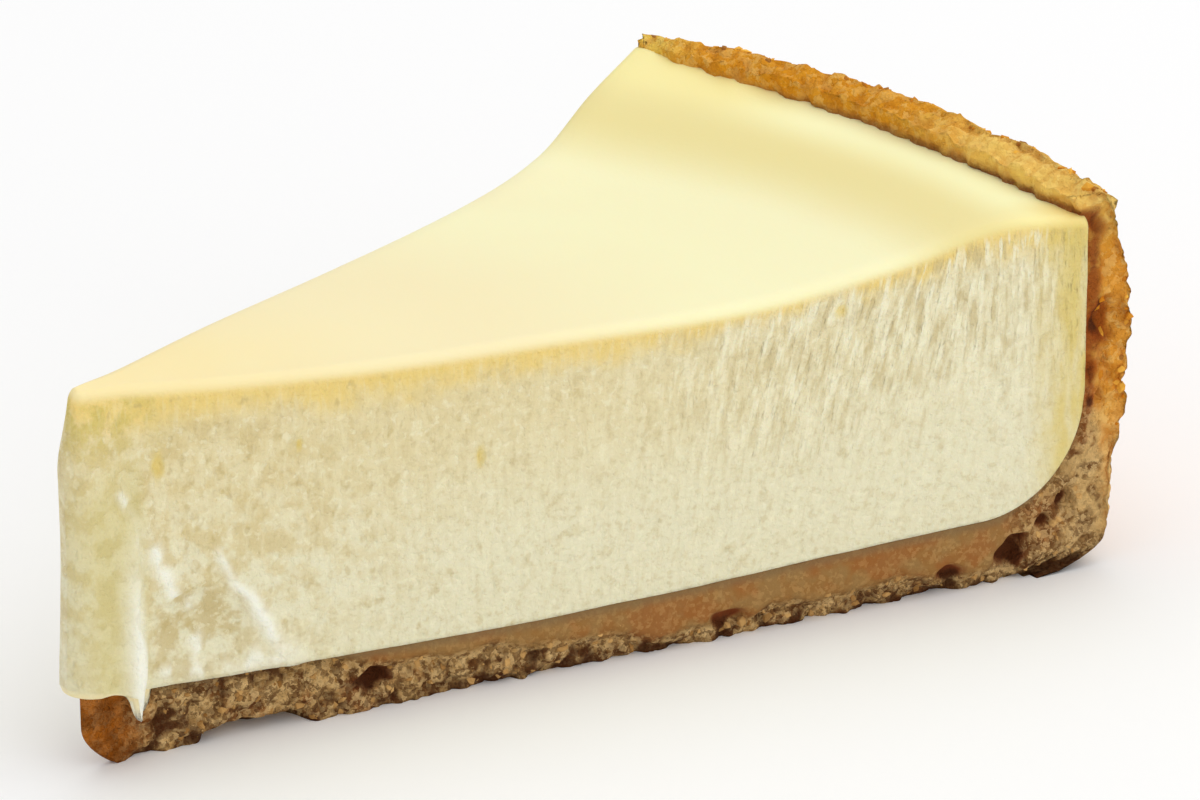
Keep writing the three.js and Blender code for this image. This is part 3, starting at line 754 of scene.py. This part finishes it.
def filling_room():
    """The room that the filling takes out of the crust, a gap larger and running out of its sides."""
    radius = INNER + GAP
    length = reach(radius, 0)
    fillet = length - FILLET_OUT * (1 - np.sin(np.linspace(0, np.pi / 2, 19)))
    plain = np.linspace(17, length - FILLET_OUT - 2, 40)
    us = np.concatenate([np.arange(0, 16.2, 0.4), plain, fillet]) / length
    ws = np.concatenate([[0], np.linspace(0.45, 0.7, 16), [1]])
    u, v, w, quads = block_skin(us, np.linspace(-1, 1, 161), ws)
    points = wedge(
        *(u, v, w, radius),
        out=lambda along, z, near: ROOM_BEYOND + 0 * z,
        top=lambda x, y: CRUST_TOP + ROOM_BEYOND + 0 * x,
        floor=lambda x, y: floor_height(x, y, GAP),
    )
    x, y, z = points.T
    # Crumbs lie over the filling's edge, fewer at the far end, where it is as high as the rim.
    crumbs = sum(height * lumps(x, y, z, size) for height, size in EDGE_CRUMBS)
    crumbs = crumbs * (1 - EDGE_CRUMBS_LOST * ease(y, *EDGE_CRUMBS_FAR))
    crumbs = crumbs * (u == 1) * ease(z, *EDGE_CRUMBS_HEIGHTS)
    share = 1 - crumbs / from_centre(x, y)
    points[:, 0] = (x + CUTS_MEET) * share - CUTS_MEET
    points[:, 1] = y * share
    return points, quads


def subtract(piece, cutter):
    """Takes one mesh object out of another and removes it."""
    modifier = piece.modifiers.new("room", "BOOLEAN")
    modifier.operation, modifier.object, modifier.solver = "DIFFERENCE", cutter, "MANIFOLD"
    depsgraph = bpy.context.evaluated_depsgraph_get()
    mesh = bpy.data.meshes.new_from_object(piece.evaluated_get(depsgraph))
    piece.modifiers.clear()
    old, piece.data = piece.data, mesh
    bpy.data.meshes.remove(old)
    mesh.name = piece.name
    bpy.data.objects.remove(cutter)
    mesh.polygons.foreach_set("use_smooth", [True] * len(mesh.polygons))


def build_crust():
    """The crust, on a fine grid, with its crumbs and the pits of its cut faces."""
    piece = mesh_object("crust_body", *crust_block())
    subtract(piece, mesh_object("filling_room", *filling_room()))
    x, y, z = points_of(piece).T
    rho = from_centre(x, y)
    top = ease(z, CRUST_TOP - 2.2, CRUST_TOP - 1.0)
    rag = 0.7 * swell(x, y, z, 2.1) + 0.9 * falls(z, 8, 20)
    beside = rho - 0.7 * swell(x, y, z, 2.4)
    numbers = {
        "torn": torn_in(x, y, z),
        "pocket": np.clip(pockets(x, y, z), 0, 1),
        "grain": grains_out(x, y, z),
        "lump": crumbs_out(x, y, z),
        "coarse": coarse_part(x, y, z),
        "outer": np.maximum(ease(rho - rag, PAN_RADIUS - 2.4, PAN_RADIUS - 0.4), top),
        "wall": ease(rho, INNER - 4, INNER + 0.3),
        "beside_filling": falls(beside, INNER + 1.0, INNER + 3.2),
        "inward": top * falls(rho, INNER - 0.6, INNER + 1.6),
        "under_filling": np.clip(floor_height(x, y, 0) - z, 0, 10),
        "at_tip": falls(x, 4, 10),
    }
    attach(piece.data, numbers)
    return stand_for(piece, "crumb_crust")


def linear(colour):
    """A colour of 255 as the linear colour that a shader's socket takes."""
    share = np.array(colour) / 255
    low = share / 12.92
    high = ((share + 0.055) / 1.055) ** 2.4
    return (*np.where(share <= 0.04045, low, high), 1.0)


class Look:
    """A material's nodes, made by calls that return the sockets of what they make."""

    def __init__(self, name):
        self.material = bpy.data.materials.new(name)
        self.material.use_nodes = True
        self.tree = self.material.node_tree
        self.shader = self.tree.nodes["Principled BSDF"]
        # The place in millimetres
        place = self.node("TexCoord").outputs["Object"]
        scaled = self.node("VectorMath", {0: place, "Scale": 1000.0}, operation="SCALE")
        self.place = scaled.outputs[0]
        _, self.sideways, self.height = self.node("SeparateXYZ", {0: self.place}).outputs

    def node(self, kind, inputs=(), **settings):
        made = self.tree.nodes.new("ShaderNode" + kind)
        for name, value in settings.items():
            setattr(made, name, value)
        for name, value in dict(inputs).items():
            self.feed(made.inputs[name], value)
        return made

    def feed(self, socket, value):
        if isinstance(value, bpy.types.NodeSocket):
            self.tree.links.new(value, socket)
        else:
            socket.default_value = value

    def attributes(self, *names):
        return [self.node("Attribute", attribute_name=name).outputs["Fac"] for name in names]

    def span(self, value, low, high, start=0.0, end=1.0):
        """A value between low and high, taken smoothly to start and end."""
        inputs = {"Value": value, "From Min": low, "From Max": high, "To Min": start, "To Max": end}
        return self.node("MapRange", inputs, interpolation_type="SMOOTHSTEP").outputs[0]

    def math(self, operation, a, b=0.0):
        return self.node("Math", {0: a, 1: b}, operation=operation).outputs[0]

    def times(self, *values):
        """The product of values, in which (value, low, high, ...) is a span."""
        product, *others = (self.span(*v) if isinstance(v, tuple) else v for v in values)
        for value in others:
            product = self.math("MULTIPLY", product, value)
        return product

    def mix(self, share, a, b):
        """Two colours mixed, given as 255 colours or sockets."""
        made = self.node("Mix", {0: self.times(share)}, data_type="RGBA")
        for socket, colour in zip((made.inputs[6], made.inputs[7]), (a, b)):
            self.feed(socket, linear(colour) if isinstance(colour, tuple) else colour)
        return made.outputs[2]

    def over(self, colour, *layers):
        """A colour with layers on it, each given as its colour and the factors of its strength."""
        for layer, *factors in layers:
            colour = self.mix(self.times(*factors), colour, layer)
        return colour

    def moved(self, value, noise, amount):
        """A value moved up and down by a noise."""
        return self.math("ADD", value, self.times(self.math("SUBTRACT", noise, 0.5), amount))

    def vector(self, x, y, z):
        return self.node("CombineXYZ", {0: x, 1: y, 2: z}).outputs[0]

    def noise(self, size, detail=3.0, roughness=0.55, place=None):
        """Noise whose hills are about that many millimetres apart."""
        inputs = {"Vector": place or self.place, "Scale": 1 / size, "Detail": detail, "Roughness": roughness}
        return self.node("TexNoise", inputs).outputs[0]

    def ragged(self, size):
        """The place, moved about, which makes cells of that size ragged."""
        inputs = {"Vector": self.place, "Scale": 1 / size, "Detail": 4.0, "Roughness": 0.6}
        moved = self.node("TexNoise", inputs).outputs["Color"]
        inputs = {0: moved, 1: (2.2 * size,) * 3, 2: self.place}
        return self.node("VectorMath", inputs, operation="MULTIPLY_ADD").outputs[0]

    def cells(self, size, kind="Distance"):
        """How far the middle is of ragged cells about that wide, or with "Color" each cell's own tone."""
        inputs = {"Vector": self.ragged(size), "Scale": 1 / size}
        return self.node("TexVoronoi", inputs).outputs[kind]

    def bump(self, height, millimetres, under=None):
        inputs = {"Height": height, "Distance": millimetres / 1000, "Strength": 1.0}
        made = self.node("Bump", inputs)
        if under:
            self.feed(made.inputs["Normal"], under)
        return made.outputs[0]

    def finish(self, piece, **sockets):
        """Sets the shader's sockets and puts the material on a piece."""
        for name, value in sockets.items():
            self.feed(self.shader.inputs[name.replace("_", " ").title().replace("Ior", "IOR")], value)
        piece.data.materials.clear()
        piece.data.materials.append(self.material)


def dress_filling(piece):
    """Cream inside, a pale satin skin on top with a baked yellow edge under it, and the knife's streaks."""
    look = Look("filling_look")
    below, wall, along, across = look.attributes("below_top", "to_wall", "along", "across")
    on_cut, smeared, drag, pored = look.attributes("on_cut", "smeared", "drag", "pored")
    hollow, raised, yellow_pore = look.attributes("hollow", "raised", "yellow_pore")
    cloudy, mottled, speckled = look.noise(9), look.noise(2.4), look.noise(0.9, 3, 0.6)
    streak_place = look.vector(across, look.times(look.height, 0.2), 0.0)
    fine, broad = look.noise(0.8, 2, 0.5, streak_place), look.noise(2.0, 2, 0.5, streak_place)
    specks = look.noise(1.3, 2, 0.5, look.vector(across, look.times(look.height, 0.7), 5.0))

    warm = look.times((below, 24, 4), (along, 110, 40, 0.5, 1))
    tan = look.times((along, 50, 14), (mottled, 0.4, 0.6))
    depth = look.moved(look.moved(below, cloudy, 5.0), mottled, 3.0)
    thin = look.times((along, 45, 75, 1.0, 1.7), (along, 86, 98, 1.0, 0.6))
    at_tip = look.times((along, 14, 3), (depth, 9, 3))
    by_wall = look.span(look.moved(wall, mottled, 4.0), 7.5, 1.5, 0, 0.85)
    speck = look.times((specks, 0.6, 0.72), (along, 80, 20, 0.3, 1), pored)
    smear = look.mix((mottled, 0.4, 0.62), SMEAR, SMEAR_DARK)
    inside = look.over(
        CREAM,
        # Warm and tan towards the tip and the top, paler low down
        (CREAM_WARM, warm),
        (CREAM_TAN, tan, (below, 34, 16, 0.35, 1), 0.75),
        (CREAM_DARK, hollow, (mottled, 0.38, 0.56), 0.75),
        (CREAM_DARK, (mottled, 0.56, 0.7, 0, 0.25)),
        (CREAM_DARK, (speckled, 0.54, 0.68, 0, 0.35)),
        (CREAM_LIGHT, (speckled, 0.46, 0.34, 0, 0.4)),
        # The baked band under the top edge
        (BAKED_EDGE, (look.times(depth, thin), 5.5, 1.2, 0, 0.9)),
        (BAKED_TIP, at_tip, (mottled, 0.4, 0.58), 0.8),
        # Streaks, long in the height and narrow across it: the cream's own, and partly painted light and
        # shade of their relief
        (CREAM_LIGHT, (fine, 0.52, 0.64), drag, 0.8),
        (CREAM_DARK, (fine, 0.48, 0.36), drag, 0.6),
        (CREAM_LIGHT, (broad, 0.52, 0.66), drag, 0.5),
        # The band by the wall, and small tan specks
        (BAKED_WALL, by_wall, (broad, 0.36, 0.56, 0.55, 1)),
        (SPECK, speck, 0.45),
        # The smeared coat, yellower, and darker partly as painted shade where it faces away from the light
        (smear, smeared, 0.85),
        # Whiter on the folds' crests, partly painted highlight
        (FOLD_WHITE, raised, 0.9),
        (PORE_YELLOW, yellow_pore, 0.55),
    )
    # The shoulder by the rim: a painted highlight, yellower towards its ends
    shoulder_highlight = look.over(
        TOP_SHOULDER_HIGHLIGHT,
        (TOP_SHOULDER_END, (look.sideways, 4, 20)),
        (TOP_SHOULDER_END, (look.sideways, -25, -33)),
    )
    skin = look.over(
        TOP_SKIN,
        (TOP_PEACH, (along, 76, 44)),
        (TOP_YELLOW, (along, 40, 12)),
        (TOP_PEACH, (look.noise(22, 2), 0.42, 0.7, 0, 0.4)),
        # Painted shade in the trough inside the shoulder
        (TOP_TROUGH_SHADE, (wall, 24, 13)),
        (shoulder_highlight, (wall, 12, 4.5)),
        (BAKED_EDGE, (wall, 6.5, 1), (look.sideways, -25, -32), 0.6),
    )

    marks = look.times(look.math("ADD", fine, look.math("SUBTRACT", look.times(broad, 1.2), 1.1)), drag)
    grainy = look.times(look.math("ADD", speckled, look.math("SUBTRACT", mottled, 1.0)), on_cut)
    normal = look.bump(look.noise(0.5, 3, 0.6), 0.02)
    normal = look.bump(marks, 0.6, normal)
    normal = look.bump(grainy, 0.45, normal)
    look.finish(
        piece,
        base_color=look.mix(on_cut, skin, inside),
        roughness=look.span(on_cut, 0, 1, 0.42, 0.55),
        specular_ior_level=0.3,
        subsurface_weight=0.15,
        subsurface_radius=(1.0, 0.72, 0.4),
        subsurface_scale=0.0015,
        normal=normal,
    )


def dress_crust(piece):
    """Golden crumbs outside, brown where it was cut, smooth under the filling and pitted lower down."""
    look = Look("crust_look")
    torn, coarse, grain, lump = look.attributes("torn", "coarse", "grain", "lump")
    outer, wall, under, tip = look.attributes("outer", "wall", "under_filling", "at_tip")
    in_pocket, beside, inward = look.attributes("pocket", "beside_filling", "inward")
    patchy, mottled = look.noise(6), look.noise(2.2, 2, 0.5)
    crumbs, grains = look.cells(0.9), look.cells(0.45)
    tones, fine_tones = look.cells(0.9, "Color"), look.cells(0.45, "Color")
    height, sideways = look.height, look.sideways

    # The outside: crests pale gold, gaps deep orange as painted shade
    rim = look.span(height, 36, 40)
    middle = look.times((sideways, -14, 2), (sideways, 34, 24))
    inward = look.times(inward, (sideways, -2, -20))
    gold = look.over(
        GOLD,
        (GOLD_ORANGE, (patchy, 0.38, 0.62)),
        (WALL_GOLD, (height, 39, 33, 0, 0.7)),
        (GOLD_TAN, (height, 20, 12), (sideways, -32, -36), 0.75),
        (GOLD_RICH, middle, rim, 0.8),
        # Painted light: lighter gold on the rim's near end
        (GOLD_PAINTED_LIGHT, (sideways, -6, -24), rim, 0.8),
        (GOLD_YELLOW, (sideways, 25, 33), rim, 0.8),
        (GOLD_PALE, (tones, 0.45, 0.75, 0, 0.3)),
        (GOLD_DEEP, (tones, 0.5, 0.25, 0, 0.35)),
        (GOLD_PALE, (grains, 0.35, 0.1, 0, 0.2)),
        # Painted shade: deep orange where the grains and crumbs lie low, in the gaps between them
        (GOLD_DEEP, (grain, -0.1, -0.4, 0, 0.4)),
        (GOLD_DEEP, (lump, -0.2, -0.6, 0, 0.3)),
        (GOLD_DEEP, (mottled, 0.45, 0.36, 0, 0.35)),
        # Painted light: lighter gold on the rim's inner slope, which faces away from the light
        (GOLD_PAINTED_LIGHT, inward, 0.4),
    )

    # The cut: pressed smooth under the filling, coarse and pitted below, golden by the wall
    smooth = look.over(
        BROWN,
        (BROWN_WARM, (mottled, 0.4, 0.62, 0, 0.8)),
        (BROWN_RED, (patchy, 0.45, 0.6, 0, 0.5)),
        (CRUMB_TAN, (fine_tones, 0.5, 0.8, 0, 0.25)),
        (BROWN_DEEP, (tones, 0.45, 0.22, 0, 0.2)),
    )
    pale = look.times((patchy, 0.54, 0.44, 0.4, 1), (tones, 0.45, 0.7))
    rough = look.over(
        BROWN_DEEP,
        (CRUMB_TAN, (mottled, 0.34, 0.54)),
        (BROWN_RED, (patchy, 0.54, 0.64, 0, 0.6)),
        (CRUMB_PALE, pale, (torn, 1.5, 0.8), 0.75),
        (CRUMB_PALE, (fine_tones, 0.52, 0.72, 0, 0.6)),
        (BROWN_DARK, (tones, 0.42, 0.27, 0, 0.5)),
        (BROWN_DARK, (fine_tones, 0.44, 0.3, 0, 0.55)),
    )
    beside = look.times(beside, (mottled, 0.66, 0.5, 0.5, 1))
    by_wall = look.over(
        WALL_GOLD,
        (GOLD, (mottled, 0.38, 0.6)),
        (BROWN_RED, (patchy, 0.56, 0.7, 0, 0.5)),
        (WALL_RED, beside),
    )
    low_wall = look.times(wall, (height, 22, 14), (height, 2, 6))
    cut = look.over(
        smooth,
        (rough, (coarse, 0.15, 0.85)),
        (TAUPE, (under, 1.5, 0.3, 0, 0.7)),
        # Orange-brown at the tip, darker partly as painted shade where it faces away from the light
        (look.mix((mottled, 0.4, 0.6), TIP_BROWN, TIP_ORANGE), tip, 0.85),
        (by_wall, wall, (height, 12, 24), 0.85),
        (GOLD_TAN, low_wall, (mottled, 0.4, 0.55), 0.6),
    )
    off_outside = look.span(outer, 1, 0)
    dark = look.math("MAXIMUM", look.span(height, 34.5, 32.5), look.span(height, 35.5, 37.5, 0.3, 1))
    by_height = look.times((height, 16, 24), (height, 39.6, 37.6), dark)
    colour = look.over(
        cut,
        (gold, outer),
        (WALL_RED, beside, by_height, 0.75),
        # Painted shade: dark red-brown in the pockets that crumbs left
        (look.mix((height, 12, 18), POCKET_SHADE, POCKET_SHADE_HIGH), in_pocket, 0.85),
        # Painted shade: dark brown deep in the pits torn out of the cut faces
        (BROWN_DARK, (torn, 1.0, 1.8, 0, 0.9), off_outside),
    )

    crumbly = look.math("ADD", crumbs, look.times(grains, 0.5))
    on_cut = look.times((coarse, 0.1, 0.8, 0.15, 1.6), off_outside)
    amount = look.times(look.math("MAXIMUM", on_cut, outer), (inward, 0, 1, 1, 0.5))
    normal = look.bump(look.noise(0.3, 3, 0.6), 0.15)
    normal = look.bump(look.times(crumbly, amount, -1.0), 0.32, normal)
    look.finish(piece, base_color=colour, roughness=0.9, specular_ior_level=0.1, normal=normal)


def grain_shape():
    """A rough ball: the points and triangles of a subdivided icosahedron, a millimetre across."""
    ball = bmesh.new()
    bmesh.ops.create_icosphere(ball, subdivisions=1, radius=0.5)
    points = np.array([v.co[:] for v in ball.verts])
    faces = np.array([[v.index for v in f.verts] for f in ball.faces])
    ball.free()
    return points, faces


def scatter(crust, name, count, size, where, colours, seed, sunk):
    """Crumbs set into the crust's surface, more where where(points, normals) is higher, as one piece."""
    rng = np.random.default_rng(seed)
    mesh = crust.data
    mesh.calc_loop_triangles()
    corners = np.empty(3 * len(mesh.loop_triangles), np.int32)
    mesh.loop_triangles.foreach_get("vertices", corners)
    a, b, c = points_of(crust)[corners.reshape(-1, 3)].transpose(1, 0, 2)
    facing = np.cross(b - a, c - a)
    area = np.linalg.norm(facing, axis=1)
    normals = facing / np.maximum(area, 1e-9)[:, None]
    weight = area * where((a + b + c) / 3, normals)
    pick = rng.choice(len(area), count, p=weight / weight.sum())
    share = rng.dirichlet((1, 1, 1), count)
    at = a[pick] * share[:, :1] + b[pick] * share[:, 1:2] + c[pick] * share[:, 2:]
    sizes = size * rng.uniform(*CRUMB_SIZES, (count, 1, 1)) * rng.uniform(*CRUMB_UNEVEN, (count, 1, 3))
    return place_grains(name, at - normals[pick] * sunk * size, sizes, colours, rng)


def place_grains(name, places, sizes, colours, rng):
    """Rough crumbs of those sizes at those places, turned at random, as one piece."""
    count = len(places)
    shape, faces = grain_shape()
    jitter = rng.uniform(*CRUMB_UNEVEN, (count, len(shape), 1))
    axes, angles = rng.normal(size=(count, 3)), rng.uniform(0, 2 * np.pi, count)
    turns = np.array([Matrix.Rotation(angle, 3, Vector(axis)) for angle, axis in zip(angles, axes)])
    grains = np.einsum("nij,nkj->nki", turns, shape * sizes * jitter) + places[:, None, :]
    faces = (faces[None] + len(shape) * np.arange(count)[:, None, None]).reshape(-1, 3)
    tint = np.repeat(rng.uniform(0, 1, count), len(shape))
    piece = mesh_object(name, within_box(grains.reshape(-1, 3)), faces, {"tint": tint}, smooth=False)
    look = Look(name + "_look")
    colour = look.mix(*look.attributes("tint"), *colours)
    colour = look.mix((look.noise(0.7, 2), 0.5, 0.7, 0, 0.4), colour, colours[0])
    normal = look.bump(look.noise(0.3, 2), 0.1)
    look.finish(piece, base_color=colour, roughness=0.9, specular_ior_level=0.05, normal=normal)
    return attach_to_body(piece, "root")


def on_outside(points, normals):
    """High on the wall's outside and the rim."""
    x, y, z = points.T
    rho = from_centre(x, y)
    facing = (normals[:, 0] * (x + CUTS_MEET) + normals[:, 1] * y) / rho
    turned = np.maximum(ease(facing, 0.2, 0.6), ease(normals[:, 2], 0.3, 0.7))
    off_cuts = (np.abs(y) * COS - x * SIN < -1.2) | (rho > PAN_RADIUS + 0.6)
    return ease(rho, INNER, PAN_RADIUS - 1.5) * turned * off_cuts * (z > 1.0)


def on_cuts(points, normals):
    """High on the coarse part of the cut faces."""
    x, y, z = points.T
    upright = np.abs(normals[:, 2]) < 0.8
    inside = from_centre(x, y) < PAN_RADIUS - 1
    by_the_cut = np.abs(y) * COS - x * SIN > -3.5
    low = (z > 0.4) & (z < 10) & (pockets(x, y, z) < 0.1)
    return coarse_part(x, y, z) * upright * inside * by_the_cut * low * ease(x, 8, 14)


def build_camera():
    """The camera of the photograph, as fitted to the slice's outline."""
    azimuth, elevation = np.radians(AZIMUTH), np.radians(ELEVATION)
    level = np.cos(elevation)
    back = Vector((np.sin(azimuth) * level, -np.cos(azimuth) * level, np.sin(elevation)))
    right = Vector((np.cos(azimuth), np.sin(azimuth), 0))
    up = back.cross(right)
    right, up = right * np.cos(ROLL) - up * np.sin(ROLL), right * np.sin(ROLL) + up * np.cos(ROLL)
    data = bpy.data.cameras.new("camera")
    data.sensor_fit, data.sensor_width = "HORIZONTAL", SENSOR
    data.lens = FOCAL_LENGTH / PHOTO_WIDTH * SENSOR
    data.clip_start, data.clip_end = 0.01, 20
    camera = add_object("camera", data)
    camera.matrix_world = Matrix((right, up, back)).transposed().to_4x4()
    camera.location = Vector(metres(TARGET)) + back * DISTANCE / 1000
    bpy.context.scene.camera = camera


def area_light(name, place, size, power):
    """A soft square light that looks at the slice from a place in metres."""
    data = bpy.data.lights.new(name, "AREA")
    data.size, data.energy = size, power
    light = add_object(name, data)
    light.location = place
    light.rotation_euler = (LIT_PLACE - Vector(place)).to_track_quat("-Z", "Y").to_euler()


def build_studio():
    """A plain pale floor in an even white light, with a large soft light from behind the crust."""
    corners = [(FLOOR_HALF * x, FLOOR_HALF * y, 0) for x, y in ((-1, -1), (1, -1), (1, 1), (-1, 1))]
    mesh = bpy.data.meshes.new("floor")
    mesh.from_pydata(corners, [], [(0, 1, 2, 3)])
    floor = add_object("floor", mesh)
    look = Look("floor_look")
    look.finish(floor, base_color=linear(FLOOR_WHITE), roughness=0.9, specular_ior_level=0.0)
    world = bpy.data.worlds.new("world")
    bpy.context.scene.world = world
    world.use_nodes = True
    background = world.node_tree.nodes["Background"].inputs
    background["Color"].default_value = (1, 1, 1, 1)
    background["Strength"].default_value = 0.6
    area_light("key", (0.45, 0.1, 1.35), size=2.2, power=12.6)
    area_light("fill", (-0.2, -1.3, 0.6), size=1.6, power=5.4)
    bpy.context.scene.view_settings.view_transform = "Standard"


build_camera()
build_studio()
filling = build_filling()
dress_filling(filling)
crust = build_crust()
dress_crust(crust)
for crumbs in (
    scatter(crust, "golden_crumbs", 1500, 0.9, on_outside, (GOLD_DEEP, GOLD), seed=11, sunk=0.25),
    scatter(crust, "brown_crumbs", 600, 0.9, on_outside, (BROWN_WARM, GOLD_DEEP), seed=12, sunk=0.25),
    scatter(crust, "pale_crumbs", 420, 0.9, on_cuts, (BROWN_WARM, CRUMB_TAN), seed=13, sunk=0.3),
):
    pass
